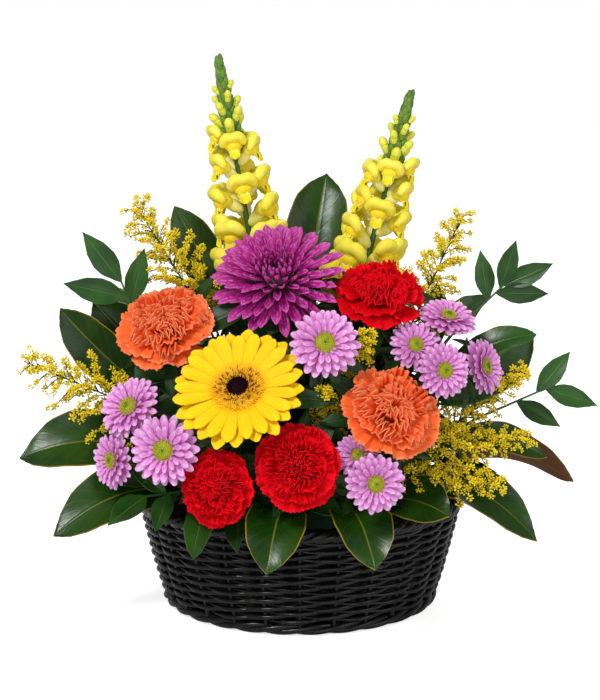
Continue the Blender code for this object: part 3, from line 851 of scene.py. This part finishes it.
def makeDaisies(daisies):
    sources = [petal("daisyPetal", dict(daisyShape, bend=((0.4, 4), (0.9, bend))), seed)
               for seed, bend in enumerate((-3, 5, -8))]
    dot = bead("floret", (0.0005, 0.0005, 0.0008), 5, 3)
    mound = bead("mound", (0.0076, 0.0076, 0.0028), 14, 6)
    for number, node in enumerate(daisies):
        head, radius = headOf(node)
        draw = random.Random(20 + number)
        scale = radius / 0.024 * 1.04
        placed = []
        for count, reach, height, pitch, size in daisyRows:
            placed += whorl(head, sources, count, reach * scale, height * scale, pitch, draw, draw.random(),
                            size * scale, 5)
        name = node.replace("lilac_daisy", "daisy")
        declared(planted(name + "_petals", placed), "lilac_petals", finishes["daisy"], node)
        disc = [(mound, head @ sized(scale), 0.3)]
        eye = [(mound, head @ shift(0, 0, 0.0034 * scale) @ sized(scale * 0.36), 0.3)]
        for i in range(150):
            share = math.sqrt((i + 0.5) / 150)
            matrix = (head @ spin(goldenTurn * i)
                      @ shift(0, share * 0.0076 * scale, (0.0048 - 0.0022 * share * share) * scale)
                      @ tilt(-40 * share) @ sized(scale))
            (eye if share < 0.36 else disc).append((dot, matrix, draw.random()))
        declared(planted(name + "_disc", disc), "lilac_petals", finishes["daisyDisc"])
        declared(planted(name + "_eye", eye), "lilac_petals", finishes["daisyEye"])
        stemOf(node, name + "_stem")
        stemLeaves(node, name + "_foliage", 6, 0.45, 0.82, 0.8, 3 + number)
    discard(dot, mound, *sources)
    print("daisies made")


carnationShape = {"rows": 8, "columns": 20, "length": 0.036, "round": 0.20, "fray": 0.024, "thick": 0.0007,
                  "outline": ((0, 0.14), (0.3, 0.34), (0.6, 0.70), (0.85, 0.95), (1, 1.0))}
# the folded inner petals, and the guard rows' count, reach, height, pitch, offset and size
carnationRows = {
    "folds": 27,
    "guards": ((7, 0.007, -0.010, 12, 0.3, 1.0), (7, 0.006, -0.009, 24, 0.8, 0.90),
               (6, 0.005, -0.008, 38, 0.5, 0.76)),
}


def makeCarnations(carnations):
    fold = dict(carnationShape, ruffle=0.0056, cup=0.30, width=0.023, waves=4, thick=0.0010)
    guard = dict(carnationShape, ruffle=0.0020, cup=0.04, width=0.036, waves=3)
    inner = [petal("innerPetal", dict(fold, bend=((0.6, -6), (0.95, bend))), seed)
             for seed, bend in enumerate((-20, -8, 4, -26, -14))]
    outer = [petal("guardPetal", dict(guard, bend=((0.5, -8), (0.9, bend))), 30 + seed)
             for seed, bend in enumerate((-6, -12, -18, -2))]
    for number, node in enumerate(carnations):
        head, radius = headOf(node)
        draw = random.Random(50 + number)
        scale = radius / 0.0440
        head = turnedHead(head, node) @ shift(0, 0.003, 0)
        placed = []
        for i in range(carnationRows["folds"]):
            share = (i + 0.5) / carnationRows["folds"]
            pitch = 90 - 46 * share ** 1.2
            size = (0.72 + 0.12 * share) * scale
            placed.append(petalAt(head, inner, goldenTurn * i, (0.002 + 0.012 * share) * scale,
                                  (-0.014 + 0.001 * share) * scale, pitch, draw, size, 9))
        for count, reach, height, pitch, offset, size in carnationRows["guards"]:
            placed += whorl(head, outer, count, reach * scale, height * scale, pitch, draw, offset,
                            size * scale, 7)
        colour = "red" if node.startswith("red") else "orange"
        declared(planted(node + "_petals", placed), colour + "_petals", finishes[colour], node)
        stemOf(node, node + "_stem")
        stemLeaves(node, node + "_foliage", 7, 0.4, 0.72, 0.95, 20 + number)
    discard(*inner, *outer)
    print("carnations made")


lipShape = {"rows": 6, "columns": 8, "length": 0.0105, "width": 0.0110, "cup": 0.25,
            "ruffle": 0.0013, "waves": 3,
            "outline": ((0, 0.6), (0.4, 0.9), (0.75, 1.0), (1, 0.7)), "round": 0.10, "thick": 0.0008,
            "bend": ((0.4, -14), (0.9, 24))}
hoodShape = {"wide": 0.0106, "high": 0.0080, "middle": (0.0158, 0.0148), "forward": 0.0036,
             "thin": 0.0022, "fat": 0.0036, "notch": 0.0024, "steps": 14, "ends": 112}


def snapdragonFloret():  # +Y is out of the spike and +Z is up it: rolled hood, tube and frilled lip
    arch, swell = [], []
    out, up = hoodShape["middle"]
    for i in range(hoodShape["steps"] + 1):
        share = i / hoodShape["steps"]
        turn = math.radians(hoodShape["ends"] * (2 * share - 1))
        notch = hoodShape["notch"] * max(0, math.cos(turn * 2.2)) ** 3
        arch.append(Vector((hoodShape["wide"] * math.sin(turn), out + hoodShape["forward"] * math.cos(turn),
                            up + hoodShape["high"] * math.cos(turn) - notch)))
        swell.append(hoodShape["thin"] + hoodShape["fat"] * math.sin(math.pi * share) ** 0.5 - notch * 0.3)
    back = bead("hoodBack", (0.0104, 0.0058, 0.0092), 12, 8, 0.95)
    hood = joined("hood", [tube("arch", arch, swell, 10), copyOf(back, shift(0, 0.0075, 0.0075)
                                                                 @ tilt(-34))])
    hood = finishedWith(hood, "REMESH", mode="VOXEL", voxel_size=0.0009)
    hood = finishedWith(hood, "SMOOTH", factor=0.6, iterations=6)
    hood = smooth(finishedWith(hood, "DECIMATE", ratio=0.24), 80)
    throat = bead("throat", (0.0064, 0.0056, 0.0108), 12, 8, 0.95)
    neck = joined("neck", [copyOf(throat, tilt(-42))])
    lobe = petal("lip", lipShape, 2)
    lips = joined("lips", [copyOf(lobe, shift(0.0050 * math.sin(math.radians(turn)), out, 0.0088)
                                  @ tilt(turn, "Y") @ tilt(-66), 0.2)
                           for turn, out in ((-60, 0.0165), (0, 0.0196), (60, 0.0165))])
    discard(lobe, throat, back)
    return hood, neck, lips


# where each column of florets stands round the spike, how far up its first and last are, and how many
spikeShape = {
    "columns": ((74, 0.0, 0.88, 5), (-74, 0.10, 1.0, 5), (4, 0.62, 0.93, 2), (180, 0.05, 0.95, 5),
                (126, 0.1, 0.9, 4), (-126, 0.0, 0.85, 4), (42, -0.08, 0.22, 2), (-44, 0.04, 0.30, 2)),
    "from": 0.515, "to": 0.808,
    "biggest": 1.14, "smallest": 0.74,
}


def makeSnapdragons(spikes):
    hood, throat, lips = snapdragonFloret()
    palate = bead("palate", (0.0080, 0.0058, 0.0060), 12, 8, 0.95)
    bud = bead("bud", (0.0032, 0.0032, 0.0050), 8, 6, 0.86)
    club = bead("club", (0.0031, 0.0031, 0.0038), 10, 7, 0.98)
    neck = bead("neck", (0.0029, 0.0029, 0.0058), 8, 5, 0.95)
    big, small = spikeShape["biggest"], spikeShape["smallest"]
    for number, node in enumerate(spikes):
        rings = ringsOf(node)
        start, tip = middle(rings[0]), middle(rings[-1])
        draw = random.Random(90 + number)
        along = (tip - start).normalized()
        long = (tip - focus).length
        front = (Vector((0, -1, 0)) - along * along.dot(Vector((0, -1, 0)))).normalized()
        spike = Matrix.Translation(focus) @ Matrix((front.cross(along), front, along)).transposed().to_4x4()
        hoods, lipped, throats, mouths, tips, green = [], [], [], [], [], []
        mirrored = 1 - 2 * number
        for degrees, first, last, count in spikeShape["columns"]:
            for i in range(count):
                share = first + (last - first) * i / (count - 1)
                place = long * (spikeShape["from"] + (spikeShape["to"] - spikeShape["from"]) * share)
                size = big + (small - big) * max(0, share) ** 0.9
                stand = (spike @ tilt(mirrored * degrees + draw.uniform(-7, 7), "Z")
                         @ shift(0, 0.0030, place))
                lean = -10 + 14 * share
                turned = stand @ tilt(lean + draw.uniform(-5, 5)) @ sized(size)
                tone = draw.random()
                hoods.append((hood, turned, tone))
                throats.append((throat, turned, tone))
                lipped.append((lips, turned, tone))
                mouths.append((palate, turned @ shift(0, 0.0118, 0.0088) @ tilt(-62), tone))
                green.append((bud, stand @ tilt(-40) @ sized(0.95 * size), draw.random()))
        for i in range(12):  # yellow buds in green cups
            share = i / 11
            stand = (spike @ spin(goldenTurn * i)
                     @ shift(0, 0.0020, long * (0.825 + 0.095 * share)) @ tilt(-38 + 8 * share))
            size = 1.30 - 0.55 * share
            green.append((bud, stand @ sized(0.6 + 0.4 * size), draw.random()))
            tips.append((neck, stand @ shift(0, 0, 0.004 * size) @ sized(size), 0.3))
            tips.append((club, stand @ shift(0, 0, 0.0100 * size) @ sized(size), draw.random()))
        for i in range(62):  # green buds, closing into the tip
            share = i / 61
            place = long * (0.80 + 0.186 * share)
            size = 1.18 - 0.32 * share
            stand = spike @ spin(goldenTurn * i) @ shift(0, 0.0026 - 0.0018 * share, place)
            lean = stand @ tilt(-44 + 36 * share)
            green.append((bud, lean @ sized(size), draw.random()))
        declared(planted(node + "_hoods", hoods), "snapdragon_yellow", finishes["hood"], node)
        declared(planted(node + "_throats", throats), "snapdragon_yellow", finishes["throat"])
        declared(planted(node + "_lips", lipped), "snapdragon_yellow", finishes["snapdragon"])
        declared(planted(node + "_palates", mouths), "snapdragon_yellow", finishes["palate"])
        declared(planted(node + "_yellow_buds", tips), "snapdragon_yellow", finishes["budTip"])
        declared(planted(node + "_green_buds", green), "ruscus_leaf", finishes["bud"])
        line = [start, start.lerp(tip, 0.5), tip - along * 0.004]
        stem = tube(node + "_stem", line, [0.003, 0.0027, 0.0010], 10)
        declared(smooth(stem, 60), "ruscus_leaf", finishes["stem"])
        stemLeaves(node, node + "_foliage", 9, 0.28, 0.5, 0.95, 40 + number)
    discard(hood, throat, lips, palate, bud, club, neck)
    print("snapdragons made")


# Goldenrod: the lowest side branch's place, the tip, the longest side branch

sprays = {
    "goldenrod_left_high": ((-0.080, -0.010, 0.240), (-0.131, 0.000, 0.322), 0.044),
    "goldenrod_left": ((-0.122, -0.046, 0.164), (-0.215, -0.052, 0.205), 0.044),
    "goldenrod_right_high": ((0.090, 0.000, 0.226), (0.130, 0.010, 0.312), 0.037),
    "goldenrod_right_mid": ((0.118, -0.044, 0.150), (0.178, -0.046, 0.196), 0.024),
    "goldenrod_right": ((0.104, -0.074, 0.140), (0.180, -0.066, 0.146), 0.028),
    "goldenrod_right_low": ((0.088, -0.070, 0.118), (0.158, -0.098, 0.116), 0.026),
    "goldenrod_centre": ((0.038, -0.070, 0.180), (0.052, -0.094, 0.238), 0.020),
    "goldenrod_centre_low": ((0.024, -0.084, 0.160), (0.018, -0.114, 0.198), 0.018),
    "goldenrod_back": ((0.030, 0.070, 0.200), (0.046, 0.104, 0.286), 0.034),
}


sprayShape = {
    "branches": 36,
    "apart": 0.0024,
    "floret": (0.00085, 0.00085, 0.00115),
    "inHead": 8,
    "head": 0.0014,
}


def floretHead(seed):  # a few florets round the end of a short stalk
    draw = random.Random(seed)
    floret = bead("floret", sprayShape["floret"], 5, 3)
    placed = []
    for i in range(sprayShape["inHead"]):
        height = 1 - 1.5 * (i + 0.5) / sprayShape["inHead"]
        flat = math.sqrt(1 - height * height)
        out = Vector((flat * math.cos(goldenTurn * i), flat * math.sin(goldenTurn * i), height))
        placed.append((floret, frameAt(out * sprayShape["head"], (out + Vector((0, 0, 0.5))).normalized())
                       @ sized(draw.uniform(0.8, 1.25)), draw.random()))
    made = planted("floretHead", placed)
    discard(floret)
    return made


def makeGoldenrod():
    heads = [floretHead(seed) for seed in range(4)]
    blade = petal("blade", {"rows": 5, "columns": 2, "length": 0.020, "width": 0.0028, "cup": 0.3,
                            "outline": ((0, 0.4), (0.4, 1.0), (1, 0.05)), "bend": ((0.5, -10),),
                            "thick": 0.0004})
    for number, (node, (low, tip, longest)) in enumerate(sprays.items()):
        draw = random.Random(120 + number)
        low, tip = Vector(low), Vector(tip)
        way = (low - focus).normalized()
        along = (tip - low).normalized()
        across = along.cross(Vector((0, 1, 0))).normalized()
        line = curved([focus + way * 0.04, low - way * 0.01, low, low.lerp(tip, 0.5), tip], 4)
        stems = [tube("branch", line, [0.0013 - 0.0009 * i / len(line) for i in range(len(line))], 6)]
        placed, blades = [], []
        count = sprayShape["branches"]
        for i in range(count):
            share = i / count
            base = low.lerp(tip, -0.22 + share * 1.20)
            out = Matrix.Rotation(goldenTurn * i, 3, along) @ across
            long = longest * (1 - 0.74 * max(0, share)) * draw.uniform(0.7, 1.1)
            lean = (along * 0.72 + out * 0.70).normalized()
            end = base + lean * long + Vector((0, 0, -0.10 * long)) + out * 0.22 * long
            route = curved([base, base + lean * long * 0.5 + Vector((0, 0, 0.10 * long)), end], 3)
            stems.append(tube("branch", route, 0.0004, 4))
            steps = max(4, int(long / sprayShape["apart"]))
            for j in range(steps):
                at = 0.22 + 0.78 * j / (steps - 1)
                spot = route[0].lerp(route[-1], at) + Vector((0, 0, 0.10 * long * math.sin(math.pi * at)))
                aside = Vector((draw.uniform(-1, 1), draw.uniform(-1, 1), draw.uniform(-0.3, 1))) * 0.0019
                facing = aside.normalized() + lean * 0.6 + Vector((0, 0, 0.4))
                turned = frameAt(spot + aside, facing.normalized())
                placed.append((draw.choice(heads), turned @ spin(draw.uniform(0, 6.28))
                               @ sized(draw.uniform(0.7, 1.2)), draw.random()))
            if i % 2 == 0:
                blades.append((blade, frameAt(base, along) @ spin(goldenTurn * i)
                               @ tilt(40) @ sized(1 - 0.5 * share), draw.random()))
        declared(planted(node + "_florets", placed), "goldenrod_yellow", finishes["goldenrod"], node)
        declared(planted(node + "_blades", blades), "ruscus_leaf", leafFinishes["ruscus"])
        declared(smooth(joined(node + "_stems", stems)), "ruscus_leaf", finishes["stem"])
    discard(blade, *heads)
    print("goldenrod made")


# Leaves

leafGrid = {
    "magnolia": {"rows": 24, "columns": 10,
                 "outline": ((0, 0.05), (0.06, 0.26), (0.18, 0.62), (0.35, 0.92), (0.5, 1.0),
                             (0.64, 0.86), (0.76, 0.55), (0.86, 0.27), (0.94, 0.10), (1, 0.004))},
    "salal": {"rows": 18, "columns": 8,
              "outline": ((0, 0.08), (0.08, 0.45), (0.25, 0.88), (0.4, 1.0), (0.6, 0.88),
                          (0.8, 0.5), (0.92, 0.2), (1, 0.01))},
    "ruscus": {"rows": 14, "columns": 6,
               "outline": ((0, 0.06), (0.1, 0.42), (0.28, 0.88), (0.42, 1.0), (0.62, 0.84),
                           (0.82, 0.42), (0.93, 0.15), (1, 0.01))},
}


def leafOver(name, kind, route, widths, sides, ups, thick=0.0007, wavy=0.05, fold=0.24, seed=0):
    # a blade laid along a route, as wide as it is told, folded up a little at both sides of its midrib
    grid = leafGrid["magnolia" if kind == "brown" else kind]
    rows, columns = grid["rows"], grid["columns"]
    draw = random.Random(seed)
    phase = draw.uniform(0, 6.28)
    made = petal(name, dict(grid, length=1, width=1))
    half = max(widths) / 2
    last = len(route) - 1
    for vertex in made.data.vertices:
        along, across = vertex.index // (columns + 1) / rows, vertex.index % (columns + 1) / columns * 2 - 1
        at = along * last
        step = min(int(at), last - 1)
        part = at - step
        spine = route[step].lerp(route[step + 1], part)
        side = sides[step].lerp(sides[step + 1], part)
        up = ups[step].lerp(ups[step + 1], part)
        reach = vertex.co.x * 2 * half
        lift = (0.35 * abs(reach) + reach * reach / half) * fold
        lift += half * wavy * math.sin(along * 11 + phase + across) * across * across
        vertex.co = spine + side * reach + up * lift
    finishedWith(made, "SOLIDIFY", thickness=thick, offset=0)
    return smooth(made, 60)


def makeLeaves(leaves):
    for number, node in enumerate(leaves):
        kind = node.split("_")[0]
        rings = ringsOf(node)
        centres = [middle(ring) for ring in rings]
        blade = rings[2:]
        widths, sides = [], []
        for ring in blade:
            pairs = ((a, b) for a in ring for b in ring)
            first, second = max(pairs, key=lambda pair: (pair[0] - pair[1]).length)
            widths.append((first - second).length)
            sides.append((second - first).normalized())
        best = widths.index(max(widths))
        along = (centres[-1] - centres[2]).normalized()
        route = curved(centres[2:], 4)
        flat = sides[best]
        edge = middle([max(blade[best], key=lambda p: (p - centres[2 + best]).dot(flat)),
                       min(blade[best], key=lambda p: (p - centres[2 + best]).dot(flat))])
        up = flat.cross(along).normalized()
        if up.dot(edge - centres[2 + best]) < 0:
            up = -up
        ups = []
        for i in range(len(route)):
            tangent = (route[min(i + 1, len(route) - 1)] - route[max(i - 1, 0)]).normalized()
            ups.append((up - tangent * up.dot(tangent)).normalized())
        if (flat.cross(ups[0])).dot(along) > 0:
            flat = -flat
        kindOf = "brown" if node.endswith("brown") else kind
        made = leafOver(node + "_blade", kindOf, route, widths, [flat] * len(route), ups, seed=number)
        declared(made, kind + "_leaf", leafFinishes[kindOf], node)
        stem = tube(node + "_stem", [*centres[:3], route[3]], [0.0014, 0.0014, 0.0012, 0.0006], 6)
        declared(smooth(stem, 60), "ruscus_leaf", finishes["stem"])
    print("leaves made")


# Leafy branches: where the stem's leafy part starts and ends, the side its leaves face,
# and each leaflet's place along it, angle from it and length

backLeaves = ((0.0, 56, 0.058), (0.25, -56, 0.060), (0.6, 50, 0.056), (0.85, -46, 0.054), (1.0, 4, 0.056))
branches = {
    "ruscus_left_high": ((-0.123, -0.014, 0.216), (-0.141, -0.014, 0.261), (0, -1, 0.2),
                         ((0.60, -36, 0.046), (0.72, 55, 0.052), (1.0, 15, 0.050))),
    "ruscus_right_high": ((0.121, -0.010, 0.218), (0.161, -0.008, 0.257), (0, -1, 0.2),
                          ((0.70, 55, 0.040), (0.85, -45, 0.042), (0.94, 28, 0.040), (1.0, -20, 0.043))),
    "ruscus_right": ((0.141, -0.018, 0.151), (0.195, -0.020, 0.176), (0, -1, 0.3),
                     ((0.58, -54, 0.040), (0.87, 27, 0.042), (1.0, -42, 0.043))),
    "ruscus_left_low": ((-0.088, -0.080, 0.108), (-0.118, -0.106, 0.111), (0, -0.8, 0.6),
                        ((0.45, 48, 0.042), (0.5, -50, 0.036), (1.0, 24, 0.050))),
    "salal_branch_back": ((0.000, 0.058, 0.150), (0.002, 0.112, 0.240), (0, 0.9, 0.4),
                          ((0.0, 58, 0.062), (0.2, -58, 0.064), (0.5, 52, 0.060), (0.75, -48, 0.058),
                           (1.0, 6, 0.058))),
    "salal_branch_back_left": ((-0.052, 0.050, 0.138), (-0.120, 0.096, 0.196), (-0.4, 0.8, 0.5), backLeaves),
    "salal_branch_back_right": ((0.052, 0.050, 0.138), (0.120, 0.096, 0.196), (0.4, 0.8, 0.5), backLeaves),
}
leafletShare = {"ruscus": 0.40, "salal": 0.50}  # width over length


def makeBranches():
    for number, (node, (first, end, face, leaflets)) in enumerate(branches.items()):
        kind = node.split("_")[0]
        first, end, face = Vector(first), Vector(end), Vector(face).normalized()
        way = (first - focus).normalized()
        along = (end - first).normalized()
        across = along.cross(face).normalized()
        blades = []
        draw = random.Random(200 + number)
        for place, degrees, long in leaflets:
            turn = math.radians(degrees)
            out = along * math.cos(turn) - across * math.sin(turn)
            base = first.lerp(end, place)
            tip = base + out * long
            up = (face - out * face.dot(out)).normalized()
            bow = up * long * 0.02
            line = curved([base, base.lerp(tip, 0.35) + bow, base.lerp(tip, 0.7) + bow, tip], 4)
            side = out.cross(up)
            count = len(line)
            blades.append(leafOver("blade", kind, line, [long * leafletShare[kind]], [side] * count,
                                   [up] * count, 0.0006, 0.04, 0.24, draw.randrange(100)))
        blade = joined(node + "_blades", [copyOf(part, Matrix.Identity(4), draw.random()) for part in blades])
        discard(*blades)
        declared(blade, kind + "_leaf", leafFinishes[kind], node)
        line = curved([focus + way * 0.04, first - way * 0.012, first, first.lerp(end, 0.5), end], 5)
        stem = tube(node + "_stem", line, [0.0015 - 0.0008 * i / len(line) for i in range(len(line))], 8)
        declared(smooth(stem, 60), "ruscus_leaf", finishes["stem"])
    print("branches made")


# Dark greenery that fills the space under the flowers

greenery = {
    "sprigs": 120,
    "leaves": 6,
    "reach": (0.135, 0.100, 0.205),
    "lowest": 2,  # degrees above level
    "collar": 9,  # leaves behind each flower
    "middle": (0, 0, 0.205),
    "collared": (0.150, 0.075),  # how far across and up the collars spread from the middle
    "clear": (0.095, 0.104),  # no leaf reaches wider than the first below the height of the second
}


def makeGreenery(flowers):
    draw = random.Random(400)
    sources = [petal("sprigLeaf", dict(shape, bend=((0.5, -6), (0.9, bend))), bend)
               for shape, bend in zip(stemLeafShapes * 2, (-12, -16, 10, 4))]
    collars = [headOf(node) for node in flowers]
    heads = [(head.inverted(), radius) for head, radius in collars]

    def covers(spot):  # whether the spot is in or in front of a flower
        for inverse, radius in heads:
            local = inverse @ spot
            if local.xy.length < radius * 1.1 and -0.014 < local.z < 0.07:
                return True
        return False

    placed, stems = [], []
    rim, top = greenery["clear"]
    for i in range(greenery["sprigs"]):
        low = math.sin(math.radians(greenery["lowest"]))
        height = low + (0.97 - low) * (i + 0.5) / greenery["sprigs"]
        flat = math.sqrt(1 - height * height)
        turn = goldenTurn * i
        out = Vector((flat * math.cos(turn), flat * math.sin(turn), height))
        reach = Vector([part * far for part, far in zip(out, greenery["reach"])])
        tip = focus + reach * draw.uniform(0.80, 1.0)
        way = (tip - focus).normalized()
        sprig = []
        for j in range(greenery["leaves"]):
            spot = focus.lerp(tip, 0.50 + 0.50 * j / (greenery["leaves"] - 1))
            matrix = (frameAt(spot, way) @ spin(goldenTurn * j + i)
                      @ tilt(draw.uniform(18, 55)) @ sized(draw.uniform(0.75, 1.1)))
            leaf = draw.choice(sources), matrix, draw.random()
            leafTip = matrix @ Vector((0, 0.045, 0))
            hangs = leafTip.z < top and leafTip.xy.length > rim  # over the basket's rim
            if not hangs and not any(covers(at) for at in (spot, leafTip, spot.lerp(leafTip, 0.5))):
                sprig.append((leaf, spot))
        if sprig:
            end = sprig[-1][1]
            stems.append(tube("sprig", [focus + way * 0.04, focus.lerp(end, 0.6), end], 0.0009, 6))
            placed += [leaf for leaf, spot in sprig]
    wide, high = greenery["collared"]
    for head, radius in collars:  # leaves lying behind each flower, towards the middle
        for i in range(greenery["collar"]):
            matrix = (head @ spin(math.tau * (i + draw.uniform(-0.2, 0.2)) / greenery["collar"])
                      @ shift(0, radius * 0.35, -0.018) @ tilt(-5)
                      @ sized(radius / 0.043))
            end = matrix @ Vector((0, 0.045, 0)) - Vector(greenery["middle"])
            if (end.x / wide) ** 2 + (end.z / high) ** 2 < 1 and not covers(matrix @ Vector((0, 0.045, 0))):
                placed.append((draw.choice(sources), matrix, draw.random() * 0.5))
    declared(planted("greenery_leaves", placed), "salal_leaf", leafFinishes["stem"])
    declared(smooth(joined("greenery_stems", stems)), "ruscus_leaf", finishes["stem"])
    discard(*sources)
    print("greenery made")


layOutStudio()
weaveBasket()
makeLeaves([name for name in nodes if "_leaf_" in name])
makeGerbera("yellow_gerbera")
makeMum("purple_chrysanthemum")
makeDaisies(sorted(name for name in nodes if "daisy" in name))
makeCarnations(sorted(name for name in nodes if "carnation" in name))
makeSnapdragons(sorted(name for name in nodes if "snapdragon" in name))
makeGoldenrod()
makeBranches()
headKinds = ("gerbera", "chrysanthemum", "daisy", "carnation")
makeGreenery([name for name in nodes if "leaf" not in name and any(kind in name for kind in headKinds)])
